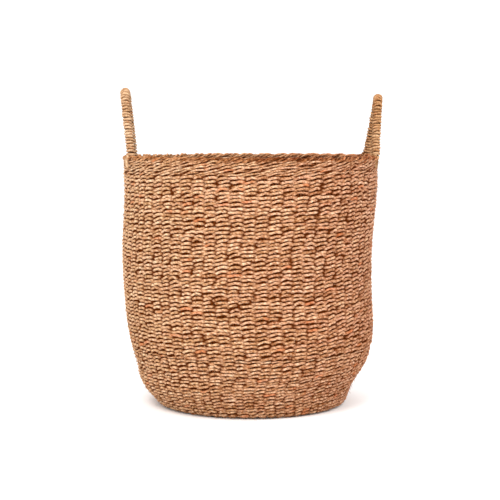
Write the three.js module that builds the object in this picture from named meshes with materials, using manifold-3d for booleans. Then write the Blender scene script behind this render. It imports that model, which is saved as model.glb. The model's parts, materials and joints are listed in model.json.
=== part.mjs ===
// Woven seagrass storage basket with two upright loop handles.
// Millimetres, +Z up. The origin is the middle of the underside, and the handles stand on the X axis.
//
// Pairs of weft cords are twined round 64 upright stakes, from the square mat in the middle of the
// floor, out across the floor, round the heel and up the wall. Each course here is the run of one
// pair of weft cords, six rows high, before the next pair is spliced in. The stakes bend over into
// the border that finishes the rim. Each handle is a stiff core whose legs run down inside the wall,
// wrapped in cord above the rim and lashed over the border.
import * as THREE from 'three';
import { mergeVertices } from 'three/addons/utils/BufferGeometryUtils.js';
import Module from 'manifold-3d';

const wasm = await Module();
wasm.setup();

// ---- Driving dimensions ----
const WALL = 9; // a stake with one weft cord on each face
const GAP = 0.3; // between neighbouring pieces
const FACETS = 48; // round the basket, a multiple of 4

const RIM_HEIGHT = 396; // top of the border
const RIM_RADIUS = 201.5; // outside of the wall at the rim
const WALL_FLARE = 4.8; // how much less the radius is where the heel ends
const HEEL_HEIGHT = 147;
const HEEL_ANGLE = Math.PI / 3; // slope at which the heel leaves the corner
const HEEL_PULL_LOW = 40; // how far the heel keeps its slope at the corner
const HEEL_PULL_HIGH = 68; // how far the heel keeps the wall's slope below its top
const CORNER_RADIUS = 12; // middle of the weave, between floor and heel
const FLOOR_RADIUS = 139.5; // flat part of the floor

const MAT_SIDE = 80; // square where the stakes cross
const FLOOR_COURSES = 3;
const WALL_COURSES = 11;
const CURVE_STEP = 9; // longest facet round the corner and heel
const BORDER_SIDES = 10;

const WALE_HEIGHT = 17; // three-strand rows under the border
const BORDER_HEIGHT = 10;
const BORDER_OVERHANG = 1; // past each face of the wall

const LEG_SPACING = 104; // middle to middle of a handle's legs at the rim
const LEG_DEPTH = 80; // of a leg below the rim
const HANDLE_REACH = 10.3; // how far a handle's top leans out past its feet
const CORE_DIAMETER = 6;
const WRAP_DIAMETER = 14;
const CORE_SIDES = 8;
const WRAP_SIDES = 10;
const ARCH_STEPS = 40; // facets along a handle
const LASHING_WIDTH = 11; // two cords side by side, the leg between them
const LASHING_THICKNESS = 2.2;
const LASHING_DROP = 19; // how far a lashing reaches below the rim
const HANDLES = [
  { name: 'left', side: -1, height: 106.5, twist: -2.5 * THREE.MathUtils.DEG2RAD },
  { name: 'right', side: 1, height: 97, twist: 5.5 * THREE.MathUtils.DEG2RAD },
];
// An arch as shares of half the leg spacing and of the height, from foot to top.
const ARCH = [[1, 0], [0.85, 0.28], [0.66, 0.56], [0.43, 0.85], [0.21, 0.97], [0, 1]];

const SEAGRASS = new THREE.MeshStandardMaterial({ color: 0xc18d64, roughness: 0.85, metalness: 0 });
const BORDER_SEAGRASS = new THREE.MeshStandardMaterial({ color: 0xa87650, roughness: 0.85, metalness: 0 });
const WRAP_SEAGRASS = new THREE.MeshStandardMaterial({ color: 0xcf9b6c, roughness: 0.85, metalness: 0 });
const CANE = new THREE.MeshStandardMaterial({ color: 0xb98f5c, roughness: 0.6, metalness: 0 });

const basket = new THREE.Group();

function add(name, geometry, material) {
  const mesh = new THREE.Mesh(geometry, material);
  mesh.name = name;
  basket.add(mesh);
}

// ---- Joining and cutting ----
function solidOf(geometry) {
  const bare = geometry.index ? geometry.toNonIndexed() : geometry.clone();
  bare.deleteAttribute('normal');
  bare.deleteAttribute('uv');
  const merged = mergeVertices(bare, 1e-3);
  return new wasm.Manifold(new wasm.Mesh({
    numProp: 3,
    vertProperties: merged.attributes.position.array,
    triVerts: new Uint32Array(merged.index.array),
  }));
}

function geometryOf(solid) {
  const mesh = solid.getMesh();
  const geometry = new THREE.BufferGeometry();
  geometry.setAttribute('position', new THREE.BufferAttribute(mesh.vertProperties, 3));
  geometry.setIndex(new THREE.BufferAttribute(mesh.triVerts, 1));
  return geometry;
}

// ---- The middle line of the weave, in the half-plane of radius and height ----
const half = WALL / 2;
const floorEnd = new THREE.Vector2(FLOOR_RADIUS, half);
const cornerEnd = new THREE.Vector2(
  FLOOR_RADIUS + CORNER_RADIUS * Math.sin(HEEL_ANGLE),
  half + CORNER_RADIUS * (1 - Math.cos(HEEL_ANGLE)),
);
const heelEnd = new THREE.Vector2(RIM_RADIUS - WALL_FLARE - half, HEEL_HEIGHT);
const rimEnd = new THREE.Vector2(RIM_RADIUS - half, RIM_HEIGHT);
const wallSlope = rimEnd.clone().sub(heelEnd).normalize();
const lowPull = new THREE.Vector2(Math.cos(HEEL_ANGLE), Math.sin(HEEL_ANGLE)).multiplyScalar(HEEL_PULL_LOW);
const highPull = wallSlope.clone().multiplyScalar(HEEL_PULL_HIGH);

const line = new THREE.CurvePath();
line.add(new THREE.EllipseCurve(
  FLOOR_RADIUS, half + CORNER_RADIUS, CORNER_RADIUS, CORNER_RADIUS,
  -Math.PI / 2, -Math.PI / 2 + HEEL_ANGLE,
));
line.add(new THREE.CubicBezierCurve(
  cornerEnd, cornerEnd.clone().add(lowPull), heelEnd.clone().sub(highPull), heelEnd,
));
line.add(new THREE.LineCurve(heelEnd, rimEnd));
const [, heelLengthEnd, lineLength] = line.getCurveLengths();

function onLine(length) {
  const share = THREE.MathUtils.clamp(length / lineLength, 0, 1);
  const point = line.getPointAt(share);
  const along = line.getTangentAt(share);
  return { point, out: new THREE.Vector2(along.y, -along.x) };
}

// The middle of the wall's radius at a height on its straight part.
function wallRadiusAt(height) {
  return heelEnd.x + (wallSlope.x / wallSlope.y) * (height - heelEnd.y);
}

// ---- Rings ----
function ring(profile) {
  const closed = [...profile, profile[0]];
  const geometry = new THREE.LatheGeometry(closed, FACETS, Math.PI / FACETS);
  geometry.rotateX(Math.PI / 2);
  return geometry;
}

// A band of the weave between two lengths along its middle line.
function bandProfile(from, to) {
  const curved = Math.min(to, heelLengthEnd) - from;
  const steps = Math.max(1, Math.ceil(curved / CURVE_STEP));
  const outside = [];
  const inside = [];
  for (let i = 0; i <= steps; i++) {
    const { point, out } = onLine(from + ((to - from) * i) / steps);
    outside.push(point.clone().addScaledVector(out, half));
    inside.unshift(point.clone().addScaledVector(out, -half));
  }
  return [...outside, ...inside];
}

const borderStart = lineLength - BORDER_HEIGHT;
const waleStart = borderStart - WALE_HEIGHT;
const courseLength = waleStart / WALL_COURSES;

// ---- Floor ----
// The outline between the mat, at 0, and the round edge of the floor, at 1.
function floorOutline(share, inset = 0) {
  const perSide = FACETS / 4;
  const points = [];
  for (let i = 0; i < FACETS; i++) {
    const side = Math.floor(i / perSide);
    const across = ((i % perSide) + 0.5) / perSide - 0.5;
    const square = new THREE.Vector2(MAT_SIDE / 2, across * MAT_SIDE);
    const turn = (across * Math.PI) / 2;
    const round = new THREE.Vector2(Math.cos(turn), Math.sin(turn)).multiplyScalar(FLOOR_RADIUS);
    const point = square.lerp(round, share);
    point.setLength(point.length() - inset);
    points.push(point.rotateAround(new THREE.Vector2(), (side * Math.PI) / 2));
  }
  return points;
}

function slab(shape) {
  return new THREE.ExtrudeGeometry(shape, { depth: WALL, bevelEnabled: false, steps: 1 });
}

add('floor_centre_mat', slab(new THREE.Shape(floorOutline(0, GAP / 2))), SEAGRASS);
for (let k = 0; k < FLOOR_COURSES; k++) {
  const outer = floorOutline((k + 1) / FLOOR_COURSES, GAP / 2);
  const inner = floorOutline(k / FLOOR_COURSES, -GAP / 2);
  const shape = new THREE.Shape(outer);
  shape.holes.push(new THREE.Path(inner));
  add(`floor_course_${k + 1}`, slab(shape), SEAGRASS);
}

// ---- Handles ----
const legFoot = RIM_HEIGHT - LEG_DEPTH;
const archTop = (handle) => RIM_HEIGHT + handle.height - WRAP_DIAMETER / 2;
const footX = (height) => Math.sqrt(wallRadiusAt(height) ** 2 - (LEG_SPACING / 2) ** 2);

// The handle's middle line from its front foot, inside the wall, over the top to its back foot.
function handleCurve(handle) {
  const rise = archTop(handle) - RIM_HEIGHT;
  const onArch = (end) => ([across, up]) => {
    const y = (end * across * LEG_SPACING) / 2;
    const x = footX(RIM_HEIGHT) + up * HANDLE_REACH + y * Math.sin(handle.twist * up);
    return new THREE.Vector3(handle.side * x, y, RIM_HEIGHT + up * rise);
  };
  const inWall = (end) => [legFoot, (legFoot + RIM_HEIGHT) / 2].map(
    (z) => new THREE.Vector3(handle.side * footX(z), (end * LEG_SPACING) / 2, z),
  );
  const front = [...inWall(-1), ...ARCH.map(onArch(-1))];
  const back = [...inWall(1), ...ARCH.slice(0, -1).map(onArch(1))].reverse();
  return new THREE.CatmullRomCurve3([...front, ...back], false, 'centripetal');
}

// A round bar of the given diameter along a curve.
function bar(curve, diameter, sides) {
  const section = new THREE.Shape();
  for (let i = 0; i < sides; i++) {
    const angle = ((i + 0.5) * 2 * Math.PI) / sides;
    const corner = [Math.cos(angle) * diameter / 2, Math.sin(angle) * diameter / 2];
    if (i === 0) section.moveTo(...corner);
    else section.lineTo(...corner);
  }
  return new THREE.ExtrudeGeometry(section, { extrudePath: curve, steps: ARCH_STEPS, bevelEnabled: false });
}

const bores = [];
const wrapFoot = RIM_HEIGHT + LASHING_THICKNESS + 2 * GAP;

for (const handle of HANDLES) {
  const curve = handleCurve(handle);
  const bore = solidOf(bar(curve, CORE_DIAMETER + 2 * GAP, CORE_SIDES));
  bores.push(bore);
  const core = solidOf(bar(curve, CORE_DIAMETER, CORE_SIDES)).trimByPlane([0, 0, 1], legFoot + GAP);
  add(`handle_${handle.name}_core`, geometryOf(core), CANE);
  const sleeve = solidOf(bar(curve, WRAP_DIAMETER, WRAP_SIDES)).trimByPlane([0, 0, 1], wrapFoot);
  add(`handle_${handle.name}_wrap`, geometryOf(sleeve.subtract(bore)), WRAP_SEAGRASS);
}

const cutLegs = (solid) => bores.reduce((rest, bore) => rest.subtract(bore), solid);

// A piece of the wall, with the bores for the legs where they reach it.
function addWall(name, profile, material) {
  const geometry = ring(profile);
  const top = Math.max(...profile.map((p) => p.y));
  const reached = top > legFoot - GAP;
  add(name, reached ? geometryOf(cutLegs(solidOf(geometry))) : geometry, material);
}

// ---- Wall ----
for (let k = 0; k < WALL_COURSES; k++) {
  const from = k * courseLength + (k === 0 ? 2 * GAP : GAP / 2);
  const to = (k + 1) * courseLength - GAP / 2;
  addWall(`wall_course_${String(k + 1).padStart(2, '0')}`, bandProfile(from, to), SEAGRASS);
}
addWall('rim_wale', bandProfile(waleStart + GAP / 2, borderStart - GAP / 2), SEAGRASS);

const borderHalf = half + BORDER_OVERHANG;
const facetSag = RIM_RADIUS * (1 - Math.cos(Math.PI / FACETS)); // a facet's middle inside its circle

// The border is a rolled edge, so its section is a flattened round.
function borderProfile() {
  const middle = onLine(lineLength - BORDER_HEIGHT / 2).point;
  return Array.from({ length: BORDER_SIDES }, (_, i) => {
    const angle = ((i + 0.5) * 2 * Math.PI) / BORDER_SIDES;
    return new THREE.Vector2(
      middle.x + Math.cos(angle) * borderHalf,
      middle.y + (Math.sin(angle) * (BORDER_HEIGHT - GAP) + GAP) / 2,
    );
  });
}
addWall('rim_border', borderProfile(), BORDER_SEAGRASS);

// ---- Lashings ----
// A strap over the border at each leg, with a tail down each face of the wall.
function lashing() {
  const inner = borderHalf + facetSag + GAP;
  const outer = inner + LASHING_THICKNESS;
  const top = GAP + LASHING_THICKNESS;
  const strap = new THREE.Shape();
  strap.moveTo(-outer, -LASHING_DROP);
  strap.lineTo(-inner, -LASHING_DROP);
  strap.lineTo(-inner, GAP);
  strap.lineTo(inner, GAP);
  strap.lineTo(inner, -LASHING_DROP);
  strap.lineTo(outer, -LASHING_DROP);
  strap.lineTo(outer, top - LASHING_THICKNESS / 2);
  strap.lineTo(outer - LASHING_THICKNESS / 2, top);
  strap.lineTo(-outer + LASHING_THICKNESS / 2, top);
  strap.lineTo(-outer, top - LASHING_THICKNESS / 2);
  const geometry = new THREE.ExtrudeGeometry(strap, { depth: LASHING_WIDTH, bevelEnabled: false, steps: 1 });
  geometry.translate(0, 0, -LASHING_WIDTH / 2);
  geometry.rotateX(Math.PI / 2);
  return geometry;
}

for (const handle of HANDLES) {
  for (const [place, end] of [['front', -1], ['back', 1]]) {
    const foot = new THREE.Vector2(handle.side * footX(RIM_HEIGHT), (end * LEG_SPACING) / 2);
    const geometry = lashing();
    geometry.rotateZ(foot.angle());
    geometry.translate(foot.x, foot.y, RIM_HEIGHT);
    add(`handle_${handle.name}_${place}_lashing`, geometryOf(cutLegs(solidOf(geometry))), WRAP_SEAGRASS);
  }
}

export default basket;
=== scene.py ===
"""Woven seagrass storage basket: twined courses, woven mat, border, wrapped handles, loose fibres."""
import json
import math

import bpy
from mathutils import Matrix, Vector
from mathutils.bvhtree import BVHTree

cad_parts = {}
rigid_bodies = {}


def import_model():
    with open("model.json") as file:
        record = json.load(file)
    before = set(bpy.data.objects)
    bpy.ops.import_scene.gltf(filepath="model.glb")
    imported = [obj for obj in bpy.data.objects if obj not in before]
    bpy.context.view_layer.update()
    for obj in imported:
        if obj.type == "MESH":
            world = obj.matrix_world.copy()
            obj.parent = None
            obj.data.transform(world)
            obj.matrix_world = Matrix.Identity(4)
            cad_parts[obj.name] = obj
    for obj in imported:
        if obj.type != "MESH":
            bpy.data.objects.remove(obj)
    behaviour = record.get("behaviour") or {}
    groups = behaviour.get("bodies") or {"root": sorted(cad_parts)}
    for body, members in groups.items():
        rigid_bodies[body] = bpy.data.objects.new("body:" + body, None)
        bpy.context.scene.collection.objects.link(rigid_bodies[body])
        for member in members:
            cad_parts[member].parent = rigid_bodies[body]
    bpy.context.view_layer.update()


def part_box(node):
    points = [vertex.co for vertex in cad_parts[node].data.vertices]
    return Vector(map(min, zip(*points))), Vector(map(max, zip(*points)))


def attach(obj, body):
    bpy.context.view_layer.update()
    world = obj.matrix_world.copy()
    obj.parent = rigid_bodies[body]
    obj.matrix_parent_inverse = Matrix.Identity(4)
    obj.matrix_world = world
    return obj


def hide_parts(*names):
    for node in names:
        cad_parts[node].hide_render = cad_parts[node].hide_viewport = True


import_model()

MM = 0.001

# ---- Node trees ----


class Socket:
    """An output in a node tree. Arithmetic on it adds Math nodes to the same tree."""

    def __init__(self, nodes, socket):
        self.nodes = nodes
        self.socket = socket

    def math(self, operation, *others):
        return self.nodes.math(operation, self, *others)

    def __add__(self, other):
        return self.math("ADD", other)

    def __sub__(self, other):
        return self.math("SUBTRACT", other)

    def __rsub__(self, other):
        return self.nodes.math("SUBTRACT", other, self)

    def __mul__(self, other):
        return self.math("MULTIPLY", other)

    def __truediv__(self, other):
        return self.math("DIVIDE", other)

    def __rtruediv__(self, other):
        return self.nodes.math("DIVIDE", other, self)

    __radd__ = __add__
    __rmul__ = __mul__


class Made:
    """A node that was added. Its outputs are taken by name or number."""

    def __init__(self, nodes, node):
        self.nodes = nodes
        self.node = node

    def __getitem__(self, key):
        return Socket(self.nodes, self.node.outputs[key])


class Nodes:
    """Builds one node tree."""

    def __init__(self, tree):
        self.tree = tree

    def add(self, kind, settings=(), values=()):
        """Adds a node: its settings first, then its sockets' values or links."""
        node = self.tree.nodes.new(kind)
        for key, value in dict(settings).items():
            if key == "stops":
                self.set_stops(node.color_ramp.elements, value)
            else:
                setattr(node, key, value)
        for key, value in dict(values).items():
            if isinstance(value, Socket):
                self.tree.links.new(value.socket, node.inputs[key])
            else:
                node.inputs[key].default_value = value
        return Made(self, node)

    def set_stops(self, elements, stops):
        while len(elements) < len(stops):
            elements.new(1)
        for element, (position, colour) in zip(elements, stops):
            element.position = position
            element.color = (*colour, 1)

    def math(self, operation, *values):
        return self.add("ShaderNodeMath", {"operation": operation}, enumerate(values))[0]

    def vector(self, x, y, z):
        return self.add("ShaderNodeCombineXYZ", values=enumerate((x, y, z)))[0]

    def xyz(self, vector):
        parts = self.add("ShaderNodeSeparateXYZ", values={0: vector})
        return parts[0], parts[1], parts[2]

    def vector_math(self, operation, *values):
        return self.add("ShaderNodeVectorMath", {"operation": operation}, enumerate(values))[0]

    def scaled(self, vector, factor):
        settings = {"operation": "SCALE"}
        return self.add("ShaderNodeVectorMath", settings, {"Vector": vector, "Scale": factor})[0]

    def mix(self, low, high, factor):
        return low + (high - low) * factor

    def ramp(self, value, low, high):
        """Rises smoothly from 0 at low to 1 at high."""
        settings = {"interpolation_type": "SMOOTHSTEP"}
        return self.add("ShaderNodeMapRange", settings, {0: value, 1: low, 2: high})[0]

    def noise(self, vector, scale, w=0.0, detail=0.0):
        """Noise that lies evenly about 0, between about -1 and 1."""
        settings = {"noise_dimensions": "4D"}
        values = {"Vector": vector, "W": w, "Scale": scale, "Detail": detail}
        return self.add("ShaderNodeTexNoise", settings, values)[0] * 2 - 1


class Growth(Nodes):
    """A Geometry Nodes tree that grows cords along a rule."""

    def __init__(self, name, inputs):
        super().__init__(bpy.data.node_groups.new(name, "GeometryNodeTree"))
        sockets = self.tree.interface
        sockets.new_socket("Geometry", in_out="INPUT", socket_type="NodeSocketGeometry")
        sockets.new_socket("Geometry", in_out="OUTPUT", socket_type="NodeSocketGeometry")
        self.identifiers = {}
        for key, kind in inputs.items():
            made = sockets.new_socket(key, in_out="INPUT", socket_type="NodeSocket" + kind)
            self.identifiers[key] = made.identifier
        self.inputs = self.add("NodeGroupInput")

    def store(self, geometry, name, value, kind="FLOAT"):
        settings = {"data_type": kind, "domain": "POINT"}
        values = {"Geometry": geometry, "Name": name, "Value": value}
        return self.add("GeometryNodeStoreNamedAttribute", settings, values)[0]

    def stored(self, name):
        return self.add("GeometryNodeInputNamedAttribute", {"data_type": "FLOAT"}, {"Name": name})[0]

    def counted(self):
        return self.add("GeometryNodeSplineParameter")["Index"]

    def straight_rail(self, points):
        """A rail of so many points. The growth's rule says later where they lie."""
        line = self.add("GeometryNodeMeshLine", values={"Count": points, "Offset": (0.01, 0, 0)})
        return self.add("GeometryNodeMeshToCurve", values={"Mesh": line[0]})[0]

    def closed_rail(self, points):
        return self.add("GeometryNodeCurvePrimitiveCircle", values={"Resolution": points})[0]

    def on_route(self, length):
        """The route's place and direction at a length along it."""
        curve = self.add("GeometryNodeMeshToCurve", values={"Mesh": self.inputs["Geometry"]})[0]
        settings = {"mode": "LENGTH", "data_type": "FLOAT"}
        sample = self.add("GeometryNodeSampleCurve", settings, {"Curves": curve, "Length": length})
        return sample["Position"], sample["Tangent"]

    def cords(self, rail, count, sides, capped=False):
        """Copies a rail and gives each copy a round skin, with each point's place stored on it."""
        copies = self.add(
            "GeometryNodeDuplicateElements", {"domain": "SPLINE"}, {"Geometry": rail, "Amount": count}
        )
        rails = self.store(copies[0], "cord", copies[1])
        rails = self.store(rails, "step", self.counted())
        circle = self.add("GeometryNodeCurvePrimitiveCircle", values={"Resolution": sides, "Radius": 1.0})
        section = self.store(circle[0], "around", self.counted() * (2 * math.pi / sides))
        values = {"Curve": rails, "Profile Curve": section, "Fill Caps": capped}
        skin = self.add("GeometryNodeCurveToMesh", values=values)[0]
        return skin, self.stored("cord"), self.stored("step"), self.stored("around")

    def finish(self, mesh, position, tone, sunk, spiral, own):
        """Puts the skin in place, stores what the finish reads, and ends the tree."""
        lay = self.vector(self.math("COSINE", spiral), self.math("SINE", spiral), own)
        mesh = self.store(mesh, "tone", tone)
        mesh = self.store(mesh, "sunk", sunk)
        mesh = self.store(mesh, "lay", lay, "FLOAT_VECTOR")
        mesh = self.add("GeometryNodeSetPosition", values={"Geometry": mesh, "Position": position})[0]
        mesh = self.add("GeometryNodeSetShadeSmooth", values={"Geometry": mesh})[0]
        mesh = self.add("GeometryNodeRealizeInstances", values={"Geometry": mesh})[0]
        values = {"Geometry": mesh, "Material": self.inputs["Material"]}
        mesh = self.add("GeometryNodeSetMaterial", values=values)[0]
        self.add("NodeGroupOutput", values={0: mesh})


def polyline(name, points):
    mesh = bpy.data.meshes.new(name)
    mesh.from_pydata(points, [(i, i + 1) for i in range(len(points) - 1)], [])
    return mesh


def grow(name, route, growth, values, nodes=()):
    """Runs a growth along a route and keeps the result as a plain mesh on the one body."""
    piece = bpy.data.objects.new(name, route)
    bpy.context.scene.collection.objects.link(piece)
    modifier = piece.modifiers.new("Growth", "NODES")
    modifier.node_group = growth.tree
    for key, value in values.items():
        modifier[growth.identifiers[key]] = value
    seen = piece.evaluated_get(bpy.context.evaluated_depsgraph_get())
    mesh = bpy.data.meshes.new_from_object(seen)
    piece.modifiers.clear()
    piece.data = mesh
    for spent in ("cord", "step", "around"):
        if spent in mesh.attributes:
            mesh.attributes.remove(mesh.attributes[spent])
    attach(piece, "root")
    if nodes:
        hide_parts(*nodes)
    return piece


# ---- Places read from the frame ----
FLOOR_COURSES = [f"floor_course_{k}" for k in (1, 2, 3)]
WALL_COURSES = [f"wall_course_{k:02d}" for k in range(1, 12)]
SIGHT_TURN = math.radians(4)  # near a facet's corner, where the rings have their full radius


def facets_of(names):
    """All the facets of some CAD nodes, to cast rays at."""
    points = []
    faces = []
    for name in names:
        mesh = bpy.data.objects[name].data
        base = len(points)
        points += [v.co.copy() for v in mesh.vertices]
        faces += [[base + i for i in p.vertices] for p in mesh.polygons]
    return BVHTree.FromPolygons(points, faces)


def between_faces(facets, radius, height, slope):
    """The middle of the wall on a ray in the half-plane of radius and height, or None in a gap."""
    across = Vector((math.cos(SIGHT_TURN), math.sin(SIGHT_TURN), 0))
    start = across * radius + Vector((0, 0, height))
    ray = across * math.cos(slope) + Vector((0, 0, math.sin(slope)))
    near = facets.ray_cast(start, ray)[0]
    if near is None:
        return None
    far = facets.ray_cast(near + ray * MM, ray)[0]
    if far is None:
        return None
    middle = (near + far) / 2
    return middle.xy.length, middle.z


floor_low, floor_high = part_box("floor_course_3")
HALF = (floor_high[2] - floor_low[2]) / 2  # half the wall's thickness
FLOOR_RADIUS = floor_high[0]
MAT_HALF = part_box("floor_centre_mat")[1][0]
RIM_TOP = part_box("rim_border")[1][2]
CLEAR = 5 * MM  # up from the foot of a course, away from the gap below it
HEEL_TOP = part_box("wall_course_06")[0][2] + CLEAR
SIGHTS = 60  # rays cast down over the heel
STEEPEST_SIGHT = math.radians(62)


def weave_line():
    """The middle of the weave as (radius, height), from the floor's middle to the rim."""
    facets = facets_of(WALL_COURSES)
    line = [(0.0, HALF), (FLOOR_RADIUS, HALF)]
    eye = (0.3 * FLOOR_RADIUS, HEEL_TOP)
    for i in range(1, SIGHTS):
        slope = -STEEPEST_SIGHT * (1 - i / SIGHTS)
        found = between_faces(facets, *eye, slope)
        if found and found[0] > FLOOR_RADIUS + HALF and found[1] > line[-1][1]:
            line.append(found)
    last = between_faces(facets, *eye, 0.0)
    top = between_faces(facets, 0.0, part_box("wall_course_11")[0][2] + CLEAR, 0.0)
    rise = (RIM_TOP - last[1]) / (top[1] - last[1])
    return line + [last, (last[0] + (top[0] - last[0]) * rise, RIM_TOP)]


LINE = weave_line()
LENGTHS = [0.0]
for (r0, z0), (r1, z1) in zip(LINE, LINE[1:]):
    LENGTHS.append(LENGTHS[-1] + math.hypot(r1 - r0, z1 - z0))
line_route = [(r, 0.0, z) for r, z in LINE]


def length_at(height):
    """How far along the weave's middle line a height on the wall is."""
    for (_, z0), (_, z1), d0, d1 in zip(LINE[1:], LINE[2:], LENGTHS[1:], LENGTHS[2:]):
        if z0 <= height <= z1:
            return d0 + (d1 - d0) * (height - z0) / (z1 - z0)
    return LENGTHS[-1]


# ---- Sizes of the cords ----
STAKES = 64
STRANDS = 4  # side by side in a stake
SIDES = 8  # facets round a cord
STEPS = 6  # facets of a weft cord from one stake to the next
BORDER_STEPS = 12  # facets of a border cord over the same distance
ROWS = 6  # in a course
WALE_ROWS = 5  # slanting rows of three strands
WALL_RADIUS = 190 * MM  # where the unevenness of the wall is measured
TURN = 2 * math.pi / STAKES
STAND_OUT = 0.6 * MM  # the cords' crests stand out from the wall's plain face
RIM_ROOM = 5 * MM  # the stakes and the wale end this far below the rim
LEANS = [(225 * MM, 130 * MM, 6.4 * MM), (36 * MM, 34 * MM, 5.5 * MM)]  # middle height, reach, shift

weft_sizes = {
    "Span": 2.0,
    "Swing": 2.4 * MM,
    "Rise": 1.0 * MM,
    "Arch": 1.1 * MM,
    "Height": 1.95 * MM,
    "Depth": 2.35 * MM,
    "Crossing Height": 2.95 * MM,
    "Crossing Depth": 3.3 * MM,
    "Unevenness": 1.0,
}


# ---- Shapes shared by the growths ----
def round_the_basket(n, turns):
    """The place round the basket, in stakes, as a side of the square mat and the way out from it."""
    sides = turns / (STAKES / 4)
    side = n.math("FLOOR", sides) * (math.pi / 2)
    across = n.math("FRACT", sides) - 0.5
    angle = (sides - 0.5) * (math.pi / 2)
    return n.math("COSINE", angle), n.math("SINE", angle), side, across


def wall_point(n, turns, length, out):
    """A point of the weave: turns in stakes, length along the middle line, out from the middle."""
    cos, sin, side, across = round_the_basket(n, turns)
    position, tangent = n.on_route(length)
    radius, _, height = n.xyz(position)
    along_r, _, along_z = n.xyz(tangent)
    radius = radius + along_z * (out + STAND_OUT)
    height = n.math("MAXIMUM", height - along_r * out, 0.0)
    square = n.math("MAXIMUM", 1 - length / FLOOR_RADIUS, 0.0) * MAT_HALF
    side_cos = n.math("COSINE", side)
    side_sin = n.math("SINE", side)
    x = cos * radius + square * (side_cos - 2 * across * side_sin)
    y = sin * radius + square * (side_sin + 2 * across * side_cos)
    return x, y, height


def unevenness(n, turns, length):
    """How the handmade wall strays: stakes sideways, rows up and down, and the wall in and out."""
    cos, sin, _, _ = round_the_basket(n, turns)
    place = n.vector(cos * WALL_RADIUS, sin * WALL_RADIUS, length)
    free = n.ramp(length, FLOOR_RADIUS, FLOOR_RADIUS + 60 * MM)
    stray = n.noise(place, 9.0, 3.1) * 0.45 + n.noise(place, 32.0, 6.1) * 0.3
    waver = n.noise(place, 7.0, 8.4) * (2.6 * MM) + n.noise(place, 21.0, 1.4) * (2.8 * MM)
    swell = n.noise(place, 11.0, 5.7) * free * (1.6 * MM)
    return place, stray, waver * free, swell


def leaned(n, x, y, z):
    """The basket's body sits a little to one side halfway up, and again at the heel."""
    for middle, reach, shift in LEANS:
        off = (z - middle) / reach
        lean = n.math("MAXIMUM", 1 - off * off, 0.0)
        x = x - lean * lean * shift
    return n.vector(x, y, z)


# ---- Twined rows ----
def twining():
    """Rows of cords that pass before and behind the stakes in turn, crossing between them."""
    n = Growth("Twined rows", {
        "Stakes": "Int", "Plies": "Int", "Cords": "Int", "Span": "Float", "Start": "Float",
        "Pitch": "Float", "Swing": "Float", "Rise": "Float", "Arch": "Float", "Height": "Float",
        "Depth": "Float", "Crossing Height": "Float", "Crossing Depth": "Float", "Unevenness": "Float",
        "Seed": "Float", "Material": "Material",
    })
    get = n.inputs
    rail = n.closed_rail(get["Stakes"] * STEPS)
    skin, cord, step, around = n.cords(rail, get["Cords"], SIDES)
    group = STAKES / get["Stakes"]
    turns = step / STEPS * group
    row = n.math("FLOOR", (cord + 0.5) / get["Plies"])
    ply = cord - row * get["Plies"]
    level = get["Start"] + (row + 0.5) * get["Pitch"]
    place, stray, drop, swell = unevenness(n, turns, level)
    own = cord * 7.31 + get["Seed"]
    fine = get["Unevenness"]
    late = n.noise(place, 45.0, own) * 0.42 * fine
    wave = ((turns / group - 0.5 - stray + late) / get["Span"] + ply / get["Plies"]) * (2 * math.pi)
    before = n.math("COSINE", wave)
    climb = n.math("SINE", wave)
    shown = n.math("ABSOLUTE", before)
    plump = 1 + n.noise(place, 60.0, own + 2.0) * 0.3 * fine
    height = n.mix(get["Crossing Height"], get["Height"], shown * shown) * plump
    depth = n.mix(get["Crossing Depth"], get["Depth"], shown) * (1.06 - (plump - 1) * 0.5)
    shift = n.noise(place, 52.0, own + 4.0) * (1.8 * MM) + n.noise(place, 40.0, row) * (0.9 * MM)
    arch = get["Arch"] * (1 + n.noise(place, 48.0, own + 1.0) * 2.5) * (shown * shown - 0.5)
    length = level + drop + shift * fine + arch + get["Rise"] * climb + height * n.math("SINE", around)
    proud = n.noise(place, 52.0, own + 6.0) * (1.3 * MM) * fine
    out = get["Swing"] * before + depth * n.math("COSINE", around)
    x, y, z = wall_point(n, turns, length, out + proud * shown + swell)
    tone = n.noise(place, 6.0, own) * 0.5 + n.noise(place, 30.0, own + 9.0) * 0.7
    # sunk: how deep a point lies in the wall; the finish paints shade from it in the slots and a highlight
    # on the crests.
    sunk = 1 - n.math("ABSOLUTE", out) / HALF
    n.finish(skin, leaned(n, x, y, z), tone, sunk, around + turns * (TURN * 64), own)
    return n


# ---- Stakes ----
def standing_stakes():
    """The cords that the weft is twined round, from the mat's edges to the rim."""
    n = Growth("Stakes", {"Length": "Float", "Thickness": "Float", "Seed": "Float", "Material": "Material"})
    get = n.inputs
    points = 52
    rail = n.straight_rail(points)
    skin, cord, step, around = n.cords(rail, STAKES * STRANDS, 6, capped=True)
    stake = n.math("FLOOR", (cord + 0.5) / STRANDS)
    beside = cord - stake * STRANDS - (STRANDS - 1) / 2
    length = step / (points - 1) * get["Length"]
    place, stray, _, swell = unevenness(n, stake + 0.5, length)
    turns = stake + 0.5 + stray
    x, y, z = wall_point(n, turns, length, swell + get["Thickness"] * n.math("SINE", around))
    cos, sin, _, _ = round_the_basket(n, turns)
    spread = n.ramp(length, 0.0, FLOOR_RADIUS * 1.4) * 1.35 + 0.6
    aside = get["Thickness"] * (n.math("COSINE", around) + beside * spread)
    own = cord * 5.3 + get["Seed"]
    tone = n.noise(place, 9.0, own) * 0.6
    # A sunk of 0.95 paints the stakes in the full dark colour, as painted shade behind the weft.
    n.finish(skin, leaned(n, x - sin * aside, y + cos * aside, z), tone, 0.95, around + step * 0.5, own)
    return n


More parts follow.
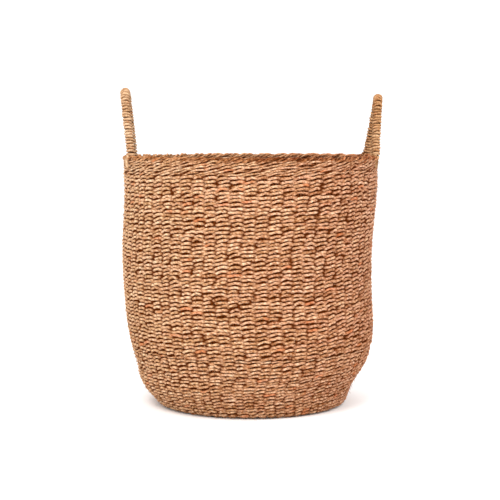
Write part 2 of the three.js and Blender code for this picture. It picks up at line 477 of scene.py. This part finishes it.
def crossed_mat():
    """The square where the stakes cross, each passing over and under the others in turn."""
    n = Growth("Crossed mat", {"Cords": "Int", "Spacing": "Float", "Material": "Material"})
    get = n.inputs
    steps = 4
    points = get["Cords"] * steps + 1
    rail = n.straight_rail(points)
    skin, cord, step, around = n.cords(rail, get["Cords"] * 2, SIDES, capped=True)
    way = n.math("GREATER_THAN", cord + 0.5, get["Cords"])
    lane = cord - way * get["Cords"]
    along = (step / steps - get["Cords"] / 2) * get["Spacing"]
    over = n.math("COSINE", (step / steps - 0.5 + lane + way) * math.pi)
    place = n.vector(along, lane * get["Spacing"], way)
    wide = get["Spacing"] * 0.52 * (1 + n.noise(place, 90.0, cord * 3.7) * 0.12)
    aside = (lane + 0.5 - get["Cords"] / 2) * get["Spacing"] + wide * n.math("COSINE", around)
    deep = HALF * 0.5
    up = HALF + over * (HALF - deep) + deep * n.math("SINE", around)
    position = n.vector(n.mix(along, aside, way), n.mix(aside, along, way), up)
    own = cord * 5.3
    tone = n.noise(place, 12.0, own) * 0.6
    # sunk: highest near the mat's middle plane, where the cords cross and the finish paints shade.
    sunk = 1 - n.math("ABSOLUTE", up - HALF) / HALF
    n.finish(skin, position, tone, sunk, around + step * 0.4, own)
    return n


# ---- Border ----
def rolled_border():
    """The stake ends laid round and round the edge in one roll."""
    n = Growth("Rolled border", {
        "Cords": "Int", "Windings": "Float", "Middle Radius": "Float", "Middle Height": "Float",
        "Half Width": "Float", "Half Height": "Float", "Cord Height": "Float", "Cord Depth": "Float",
        "Seed": "Float", "Material": "Material",
    })
    get = n.inputs
    rail = n.closed_rail(STAKES * BORDER_STEPS)
    skin, cord, step, around = n.cords(rail, get["Cords"], SIDES)
    turns = step / BORDER_STEPS
    place, _, _, swell = unevenness(n, turns, LENGTHS[-1])
    own = cord * 7.7 + get["Seed"]
    loose = n.noise(place, 18.0, own) * 0.8 + n.noise(place, 50.0, own + 5.0) * 0.4
    turn = turns * TURN * get["Windings"] + cord * (2 * math.pi) / get["Cords"] + loose
    plump = 1 + n.noise(place, 40.0, own + 3.0) * 0.3
    out = get["Cord Depth"] * plump * n.math("COSINE", around)
    sway = get["Cord Height"] * plump * n.math("SINE", around) / get["Half Height"]
    proud = n.noise(place, 34.0, own + 8.0) * (1.0 * MM)
    proud = proud + n.math("COSINE", turns * (TURN * 26) + cord * 2.4) * (1.3 * MM)
    across = (get["Half Width"] - get["Cord Depth"] + out + proud) * n.math("COSINE", turn + sway)
    up = (get["Half Height"] - get["Cord Depth"] + out + proud) * n.math("SINE", turn + sway)
    cos, sin, _, _ = round_the_basket(n, turns)
    radius = get["Middle Radius"] + across + swell
    height = get["Middle Height"] + up
    tone = n.noise(place, 10.0, own) * 0.8 + n.noise(place, 40.0, own) * 0.6 - 0.5
    # sunk: painted shade where a cord lies deep in the roll and a painted highlight where it stands out.
    sunk = 0.66 - (out + proud) / get["Cord Depth"] * 0.55
    spiral = around + turns * (TURN * 60)
    n.finish(skin, leaned(n, cos * radius, sin * radius, height), tone, sunk, spiral, own)
    return n


# ---- Cords along a route ----
def frame_on_route(n, length):
    """A point of a route, and the two ways square to it: out from the basket's middle, and across."""
    position, along = n.on_route(length)
    settings = {"operation": "DOT_PRODUCT"}
    outward = n.inputs["Outward"]
    lined = n.add("ShaderNodeVectorMath", settings, {0: along, 1: outward})["Value"]
    out = n.vector_math("SUBTRACT", outward, n.scaled(along, lined))
    out = n.vector_math("NORMALIZE", out)
    return position, out, n.vector_math("CROSS_PRODUCT", along, out)


def moved(n, start, *moves):
    for direction, distance in moves:
        start = n.vector_math("ADD", start, n.scaled(direction, distance))
    return start


def wound_cord():
    """A cord wound round a route from end to end."""
    n = Growth("Wound cord", {
        "Turns": "Float", "Points": "Int", "Length": "Float", "Radius": "Float", "Cord Height": "Float",
        "Cord Depth": "Float", "Outward": "Vector", "Seed": "Float", "Material": "Material",
    })
    get = n.inputs
    rail = n.straight_rail(get["Points"])
    skin, _, step, around = n.cords(rail, 1, SIDES, capped=True)
    part = step / (get["Points"] - 1)
    own = get["Seed"]
    spot = n.vector(part * get["Length"], 0.0, 0.0)
    uneven = n.noise(spot, 260.0, own)
    angle = part * get["Turns"] * (2 * math.pi)
    plump = 1 + uneven * 0.3
    length = part * get["Length"] + get["Cord Height"] * plump * n.math("SINE", around)
    length = length + n.noise(spot, 420.0, own + 4.0) * (2.2 * MM)
    out = get["Radius"] - get["Cord Depth"] + get["Cord Depth"] * plump * n.math("COSINE", around)
    out = out + n.noise(spot, 60.0, own + 2.0) * (0.5 * MM) + n.noise(spot, 480.0, own + 7.0) * (1.2 * MM)
    centre, outward, across = frame_on_route(n, length)
    turned = (outward, out * n.math("COSINE", angle)), (across, out * n.math("SINE", angle))
    tone = n.noise(spot, 30.0, own) * 0.5 + uneven * 0.7
    # sunk: painted shade on the side of the cord toward the core and a painted highlight on its outer side.
    sunk = 0.6 - n.math("COSINE", around) * 0.6
    n.finish(skin, moved(n, centre, *turned), tone, sunk, around + step * 0.6, own + part * get["Turns"])
    return n


def laid_cord():
    """A flattened cord laid along a route."""
    n = Growth("Laid cord", {
        "Points": "Int", "Length": "Float", "Half Width": "Float", "Half Depth": "Float",
        "Outward": "Vector", "Seed": "Float", "Material": "Material",
    })
    get = n.inputs
    rail = n.straight_rail(get["Points"])
    skin, _, step, around = n.cords(rail, 1, SIDES, capped=True)
    part = step / (get["Points"] - 1)
    own = get["Seed"]
    spot = n.vector(part * get["Length"], 0.0, 0.0)
    centre, outward, across = frame_on_route(n, part * get["Length"])
    ends = n.ramp(n.math("MINIMUM", part, 1 - part), -0.02, 0.08)
    plump = ends * (1 + n.noise(spot, 150.0, own) * 0.4)
    bent = n.noise(spot, 120.0, own + 3.0) * (1.6 * MM)
    deep = get["Half Depth"] * plump * n.math("COSINE", around) + bent
    wide = get["Half Width"] * plump * n.math("SINE", around)
    tone = n.noise(spot, 30.0, own) * 0.5 + 0.2
    # sunk: painted shade on the face of the cord turned away from Outward and a painted highlight on the
    # face toward it.
    sunk = 0.4 - n.math("COSINE", around) * 0.4
    n.finish(skin, moved(n, centre, (outward, deep), (across, wide)), tone, sunk, around + step * 0.3, own)
    return n


# ---- Loose fibres ----
def stray_fibres():
    """Short fibre ends that stand off both faces of the wall."""
    n = Growth("Loose fibres", {
        "Count": "Int", "From": "Float", "To": "Float", "Seed": "Int", "Material": "Material",
    })
    get = n.inputs
    points = 5
    rail = n.straight_rail(points)
    skin, cord, step, around = n.cords(rail, get["Count"], 3, capped=True)

    def chance(low, high, salt):
        values = {2: low, 3: high, 7: cord, 8: get["Seed"] + salt}
        return n.add("FunctionNodeRandomValue", {"data_type": "FLOAT"}, values)[1]

    part = step / (points - 1)
    reach = chance(3 * MM, 10 * MM, 1)
    turns = chance(0.0, STAKES, 2) + part * reach / (TURN * WALL_RADIUS) * chance(-1.0, 1.0, 3)
    face = n.math("SIGN", chance(-0.35, 1.0, 4))
    length = chance(get["From"], get["To"], 5) + part * part * reach * chance(-0.9, 0.5, 6)
    lift = part * n.math("SQRT", part + 0.05) * reach * chance(0.15, 0.75, 7)
    thin = (1.15 - part) * chance(0.25 * MM, 0.6 * MM, 8)
    out = face * (HALF * 0.75 + lift + thin * n.math("COSINE", around))
    x, y, z = wall_point(n, turns, length + thin * n.math("SINE", around), out)
    tone = chance(-0.8, 1.0, 9)
    n.finish(skin, leaned(n, x, y, z), tone, 0.2, around, cord * 3.3)
    return n


# ---- Finishes ----
MIDDLE_VALUE = 0.51  # where plain seagrass lies among a finish's stops
PAINTED_SHADE_ACROSS = 0.45  # painted shade: darker for each metre toward +x, away from the key lamp
ROSIER_ACROSS = 1.6  # for each metre toward +x
PALE_SHARE = 0.905  # the wound cord's stops, brought down to suit the lights
RUST = (196, 104, 54)


def srgb(red, green, blue):
    """A colour as it is seen, in the linear values a shader takes."""
    parts = (c / 255 for c in (red, green, blue))
    return tuple(c / 12.92 if c < 0.04045 else ((c + 0.055) / 1.055) ** 2.4 for c in parts)


def new_material(name):
    """An empty material, and the tree to build it in."""
    material = bpy.data.materials.new(name)
    material.use_nodes = True
    material.node_tree.nodes.clear()
    return material, Nodes(material.node_tree)


# dark is the colour of the painted shade in the slots, creases and grooves.
def seagrass(name, straw, rosy, dark=(84, 36, 4), sunk_from=0.1, sunk_to=0.6, rise=0.2, front=0.0):
    """Dry twisted seagrass: each cord its own tan, fine fibres along it, painted shade where it is sunk and
    a painted highlight where it stands out.
    """
    material, n = new_material(name)
    tone = n.add("ShaderNodeAttribute", {"attribute_name": "tone"})["Fac"]
    sunk = n.add("ShaderNodeAttribute", {"attribute_name": "sunk"})["Fac"]
    lay = n.add("ShaderNodeAttribute", {"attribute_name": "lay"})["Vector"]
    place = n.add("ShaderNodeTexCoord")["Object"]
    cos, sin, own = n.xyz(lay)
    angle = n.math("ARCTAN2", sin, cos)
    ply = n.ramp(n.math("COSINE", angle * 2), 0.45, 1.0)  # the groove between two twisted strands, for the bump and for painted shade
    fibres = n.noise(n.vector_math("ADD", n.scaled(place, 70.0), n.scaled(lay, 4.0)), 1.0, own, 3.0)
    patches = n.noise(place, 330.0, own * 0.4 + 3.0, 1.0)
    x, y, z = n.xyz(place)
    hue = n.noise(place, 9.0, own * 0.21 + 8.0) * 0.4 + n.noise(place, 45.0, own) * 0.2
    hue = hue + 0.5 + x * ROSIER_ACROSS
    # (0.25 - sunk) * 0.3 is a painted highlight: lighter where a cord stands out, darker where it lies
    # deep.
    value = tone * 0.42 + fibres * 0.66 + patches * 0.75 + (0.25 - sunk) * 0.3
    # Painted shade: the x term darkens every finish toward +x.
    value = value + (z - RIM_TOP) * rise + MIDDLE_VALUE + y * front - x * PAINTED_SHADE_ACROSS
    mixing = {"data_type": "RGBA", "clamp_factor": True}
    ramps = [
        n.add("ShaderNodeValToRGB", {"stops": [(at, srgb(*c)) for at, c in stops]}, {0: value})[0]
        for stops in (straw, rosy)
    ]
    colour = n.add("ShaderNodeMix", mixing, {0: hue, 6: ramps[0], 7: ramps[1]})[2]
    rusty = n.ramp(n.noise(place, 24.0, own * 1.3 + 2.0), 0.34, 0.56) * 0.5
    colour = n.add("ShaderNodeMix", mixing, {0: rusty, 6: colour, 7: (*srgb(*RUST), 1)})[2]
    # Painted shade: the colour goes toward dark where the cord lies deep in the wall and in the groove
    # between its strands.
    deep = n.math("MAXIMUM", n.ramp(sunk, sunk_from, sunk_to), ply * 0.42)
    colour = n.add("ShaderNodeMix", mixing, {0: deep, 6: colour, 7: (*srgb(*dark), 1)})[2]
    height = fibres * 0.6 - ply
    bump = n.add("ShaderNodeBump", values={"Strength": 0.6, "Distance": 0.5 * MM, "Height": height})
    shader = n.add("ShaderNodeBsdfPrincipled", values={
        "Base Color": colour,
        "Roughness": 0.6 - fibres * 0.1 + deep * 0.3,
        "Specular IOR Level": 0.03,
        "Normal": bump[0],
    })
    n.add("ShaderNodeOutputMaterial", values={0: shader[0]})
    return material


def cane(name):
    """Split cane with long dark streaks."""
    material, n = new_material(name)
    place = n.add("ShaderNodeTexCoord")["Object"]
    x, y, z = n.xyz(place)
    streaks = n.noise(n.vector(x, y, z * 0.06), 900.0, 0.0, 2.0)
    stops = [(0.2, srgb(58, 34, 16)), (0.5, srgb(82, 52, 28)), (0.8, srgb(104, 72, 42))]
    ramp = n.add("ShaderNodeValToRGB", {"stops": stops}, {0: streaks * 0.5 + 0.5})
    shader = n.add("ShaderNodeBsdfPrincipled", values={
        "Base Color": ramp[0],
        "Roughness": 0.5 - streaks * 0.1,
    })
    n.add("ShaderNodeOutputMaterial", values={0: shader[0]})
    return material


STRAW = [
    (0.0, (107, 60, 21)), (0.2, (152, 106, 63)), (0.42, (178, 133, 92)),
    (0.65, (201, 159, 119)), (0.85, (216, 178, 140)), (1.0, (224, 196, 160)),
]
ROSY = [
    (0.0, (109, 51, 24)), (0.2, (154, 98, 65)), (0.42, (180, 126, 95)),
    (0.65, (204, 152, 123)), (0.85, (217, 173, 144)), (1.0, (224, 190, 160)),
]
PALE = [
    (0.0, (122, 76, 36)), (0.2, (170, 122, 78)), (0.42, (200, 152, 110)),
    (0.65, (224, 182, 142)), (0.85, (246, 212, 174)), (1.0, (255, 232, 200)),
]


def browned(stops, *shares):
    """The same stops with their red, green and blue each brought down to a share."""
    return [(at, tuple(c * share for c, share in zip(colour, shares))) for at, colour in stops]


def dimmed(stops, share):
    return browned(stops, share, share, share)


weft_finish = seagrass("dry seagrass weft", STRAW, ROSY)
wale_finish = seagrass("dry seagrass wale", STRAW, ROSY)
# Painted shade: the stakes' stops are dimmed to 0.7, since they lie behind the weft.
stake_finish = seagrass("shaded seagrass stakes", dimmed(STRAW, 0.7), dimmed(ROSY, 0.7))
# Painted light and shade on the border: rise=-50 darkens it toward its top, front=1.4 darkens its front
# half and lightens its back half, and dark is the colour of its painted shade.
border_finish = seagrass(
    "browned seagrass border", browned(STRAW, 0.93, 0.86, 0.8), browned(ROSY, 0.93, 0.86, 0.78),
    dark=(66, 30, 8), sunk_from=0.14, sunk_to=0.85, rise=-50.0, front=1.4,
)
# Painted shade: rise=-1.0 darkens the handle wraps toward their tops, against the light from above.
wrap_finish = seagrass(
    "dry seagrass wrap", dimmed(PALE, 0.95 * PALE_SHARE), browned(STRAW, 0.98, 0.97, 0.96),
    sunk_from=0.22, sunk_to=0.75, rise=-1.0,
)
lash_finish = seagrass("olive seagrass lashing", dimmed(STRAW, 0.96), dimmed(STRAW, 0.86))
fibre_finish = seagrass("loose seagrass fibres", STRAW, ROSY)
cane_finish = cane("split cane")


# ---- The basket ----
twined = twining()
floor_length = FLOOR_RADIUS / len(FLOOR_COURSES)
wale_start = length_at(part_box("rim_wale")[0][2])
wall_length = (wale_start - FLOOR_RADIUS) / len(WALL_COURSES)
courses = [(name, k * floor_length, floor_length) for k, name in enumerate(FLOOR_COURSES)]
courses += [(name, FLOOR_RADIUS + k * wall_length, wall_length) for k, name in enumerate(WALL_COURSES)]
for seed, (name, start, length) in enumerate(courses):
    crowded = name in FLOOR_COURSES[:2]
    sizes = dict(weft_sizes)
    sizes.update({
        "Stakes": STAKES // 2 if crowded else STAKES,
        "Plies": 2,
        "Cords": 2 * ROWS,
        "Start": start,
        "Pitch": length / ROWS,
        "Seed": seed * 31.7,
        "Material": weft_finish,
    })
    route = polyline(name + "_line", line_route)
    grow("twined_" + name, route, twined, sizes, [name])

sizes = dict(weft_sizes)
sizes.update({
    "Stakes": STAKES, "Plies": 3, "Cords": 3 * WALE_ROWS, "Span": 3.0, "Start": wale_start,
    "Pitch": (LENGTHS[-1] - RIM_ROOM - wale_start) / WALE_ROWS, "Rise": 2.0 * MM, "Height": 1.5 * MM,
    "Depth": 1.9 * MM, "Crossing Height": 1.9 * MM, "Crossing Depth": 2.6 * MM, "Swing": 2.4 * MM,
    "Unevenness": 1.3, "Seed": 511.0, "Material": wale_finish,
})
grow("slanting_wale", polyline("wale_line", line_route), twined, sizes, ["rim_wale"])

stake_values = {
    "Length": LENGTHS[-1] - RIM_ROOM, "Thickness": 2.35 * MM, "Seed": 3.0, "Material": stake_finish,
}
grow("stakes", polyline("stake_line", line_route), standing_stakes(), stake_values)
mat_cords = STAKES // 4
mat_values = {"Cords": mat_cords, "Spacing": 2 * MAT_HALF / mat_cords, "Material": weft_finish}
grow("crossed_mat", polyline("mat_line", line_route), crossed_mat(), mat_values,
     ["floor_centre_mat"])

border_values = {
    "Cords": 6, "Windings": 34.0, "Middle Radius": LINE[-1][0], "Middle Height": RIM_TOP - 4.2 * MM,
    "Half Width": 5.6 * MM, "Half Height": 3.7 * MM, "Cord Height": 2.1 * MM, "Cord Depth": 2.2 * MM,
    "Seed": 71.0, "Material": border_finish,
}
grow("rolled_border", polyline("border_line", line_route), rolled_border(), border_values,
     ["rim_border"])


# ---- Handles ----
LEG_SPACING = 104 * MM
HANDLE_REACH = 10.3 * MM
WRAP_RADIUS = 7 * MM
WRAP_PITCH = 4.7 * MM  # from one winding to the next
WRAP_STEPS = 14  # facets along one winding
# Shares of half the leg spacing and of the height above the rim, from foot to top.
ARCH = [(1, -0.06), (1, 0.03), (0.85, 0.28), (0.66, 0.56), (0.43, 0.85), (0.21, 0.97), (0, 1)]
LEAN = {"left": math.radians(-2.5), "right": math.radians(5.5)}
OUTSET = {"left": -1.8 * MM, "right": 2.2 * MM}  # how the wound cord sits out from the core
SIDE = {"left": -1, "right": 1}
foot_x = math.sqrt(LINE[-1][0] ** 2 - (LEG_SPACING / 2) ** 2)


def smooth_route(points, steps=8):
    """A smooth line through the points."""
    ends = [points[0] * 2 - points[1], *points, points[-1] * 2 - points[-2]]
    route = []
    for a, b, c, d in zip(ends, ends[1:], ends[2:], ends[3:]):
        for i in range(steps):
            t = i / steps
            curve = 2 * b + (c - a) * t + (2 * a - 5 * b + 4 * c - d) * t * t
            route.append((curve + (3 * b - a - 3 * c + d) * t * t * t) / 2)
    return [*route, points[-1]]


def arch_route(name):
    """The middle line of a handle above the rim, from its front foot to its back foot."""
    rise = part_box(f"handle_{name}_wrap")[1][2] - WRAP_RADIUS - RIM_TOP

    def at(end, across, up):
        y = end * across * LEG_SPACING / 2
        x = foot_x + (OUTSET[name] if up > 0 else 0) + up * HANDLE_REACH + y * math.sin(LEAN[name] * up)
        return Vector((SIDE[name] * x, y, RIM_TOP + up * rise))

    front = [at(-1, *share) for share in ARCH]
    back = [at(1, *share) for share in reversed(ARCH[:-1])]
    return smooth_route([*front, *back])


def route_length(route):
    return sum((b - a).length for a, b in zip(route, route[1:]))


LASHING_DROP = 19 * MM
SLANT = 9 * MM  # how far the outer cord on the right handle runs sideways
LASHING_APART = 2.9 * MM  # from a handle's foot to the middle of the cord beside it
TAIL_OUT = {-1: 0.4 * MM, 1: -1.8 * MM}  # of the wall's plain face, on the left and on the right
BEND_OUT = {-1: 5.4 * MM, 1: 3.6 * MM}  # of the wall's middle, just under the border's top


def lashing_route(side, end, place):
    """Over the border beside a handle's foot, with a tail down each face of the wall."""
    along = Vector((side * foot_x, end * LEG_SPACING / 2, 0))
    outward = along.normalized()
    across = Vector((-outward.y, outward.x, 0)) * (side * end)
    slant = SLANT if side > 0 and place > 0 else 0.0
    reach = HALF + TAIL_OUT[side]
    bend = BEND_OUT[side]
    top = RIM_TOP - 2 * MM
    profile = [(reach, -LASHING_DROP), (reach + 0.6 * MM, -LASHING_DROP * 0.4), (bend, -3 * MM)]
    profile += [(bend * 0.7, 3.2 * MM), (0.0, 4.0 * MM)]
    profile += [(-out, up) for out, up in reversed(profile[:-1])]
    points = []
    for k, (out, up) in enumerate(profile):
        slide = slant * (0.8 - k / (len(profile) - 1))
        aside = across * (place * LASHING_APART + slide)
        points.append(along + outward * out + aside + Vector((0, 0, top + up)))
    return smooth_route(points, 6)


wound = wound_cord()
laid = laid_cord()
for name, side in SIDE.items():
    route = arch_route(name)
    length = route_length(route)
    turns = round(length / WRAP_PITCH)
    wrap_values = {
        "Turns": float(turns * side), "Points": turns * WRAP_STEPS, "Length": length,
        "Radius": WRAP_RADIUS + 0.3 * MM, "Cord Height": 2.15 * MM, "Cord Depth": 2.6 * MM,
        "Outward": (side, 0, 0), "Seed": 5.0 + side, "Material": wrap_finish,
    }
    grow(f"handle_wrap_{name}", polyline(name + "_arch", route), wound, wrap_values,
         [f"handle_{name}_wrap"])
    for end, foot in ((-1, "front"), (1, "back")):
        for place in (-1, 1):
            lash_route = lashing_route(side, end, place)
            lash_values = {
                "Points": 40, "Length": route_length(lash_route), "Half Width": 2.6 * MM,
                "Half Depth": 0.9 * MM, "Outward": (0.0, end * 1.0, 0.0),
                "Seed": 9.0 + place + end * side * 5, "Material": lash_finish,
            }
            label = f"{name}_{foot}_{'inner' if place < 0 else 'outer'}"
            grow(f"lashing_{label}", polyline(label, lash_route), laid, lash_values,
                 [f"handle_{name}_{foot}_lashing"])
    core = bpy.data.objects[f"handle_{name}_core"]
    core.data.materials.clear()
    core.data.materials.append(cane_finish)

fibre_values = {
    "Count": 5200, "From": FLOOR_RADIUS + 20 * MM, "To": LENGTHS[-1], "Seed": 12, "Material": fibre_finish,
}
grow("loose_fibres", polyline("fibre_line", line_route), stray_fibres(), fibre_values)


# ---- Stage, light and camera ----
LAMP_COLOUR = (1.0, 0.99, 0.97)
LAMP_AIM = (0, 0, 0.2)
SKY_STRENGTH = 1.28
FLOOR_REACH = 30


def lamp(name, place, size, power):
    data = bpy.data.lights.new(name, "AREA")
    data.size = size
    data.energy = power
    data.color = LAMP_COLOUR
    made = bpy.data.objects.new(name, data)
    made.location = place
    made.rotation_euler = (Vector(LAMP_AIM) - Vector(place)).to_track_quat("-Z", "Y").to_euler()
    bpy.context.scene.collection.objects.link(made)


def white_floor():
    mesh = bpy.data.meshes.new("floor")
    reach = FLOOR_REACH
    corners = [(-reach, -reach, 0), (reach, -reach, 0), (reach, reach, 0), (-reach, reach, 0)]
    mesh.from_pydata(corners, [], [(0, 1, 2, 3)])
    made = bpy.data.objects.new("floor", mesh)
    bpy.context.scene.collection.objects.link(made)
    material = bpy.data.materials.new("pale floor")
    material.use_nodes = True
    shader = material.node_tree.nodes["Principled BSDF"]
    shader.inputs["Base Color"].default_value = (0.98, 0.98, 0.98, 1)
    shader.inputs["Roughness"].default_value = 0.9
    mesh.materials.append(material)


white_floor()
world = bpy.data.worlds.new("studio")
world.use_nodes = True
sky = world.node_tree.nodes["Background"]
sky.inputs["Color"].default_value = (1, 1, 1, 1)
sky.inputs["Strength"].default_value = SKY_STRENGTH
bpy.context.scene.world = world
lamp("key", (-0.8, -1.9, 2.4), size=1.6, power=58)
lamp("side", (1.5, -1.1, 2.2), size=0.9, power=20)

camera_data = bpy.data.cameras.new("camera")
camera_data.lens = 103.0
camera_data.sensor_width = 36.0
camera = bpy.data.objects.new("camera", camera_data)
camera.location = (-0.119, -2.277, 0.438)
aim = Vector((-0.0016, 0, 0.2445))
camera.rotation_euler = (aim - camera.location).to_track_quat("-Z", "Y").to_euler()
bpy.context.scene.collection.objects.link(camera)
bpy.context.scene.camera = camera
bpy.context.scene.view_settings.view_transform = "Standard"
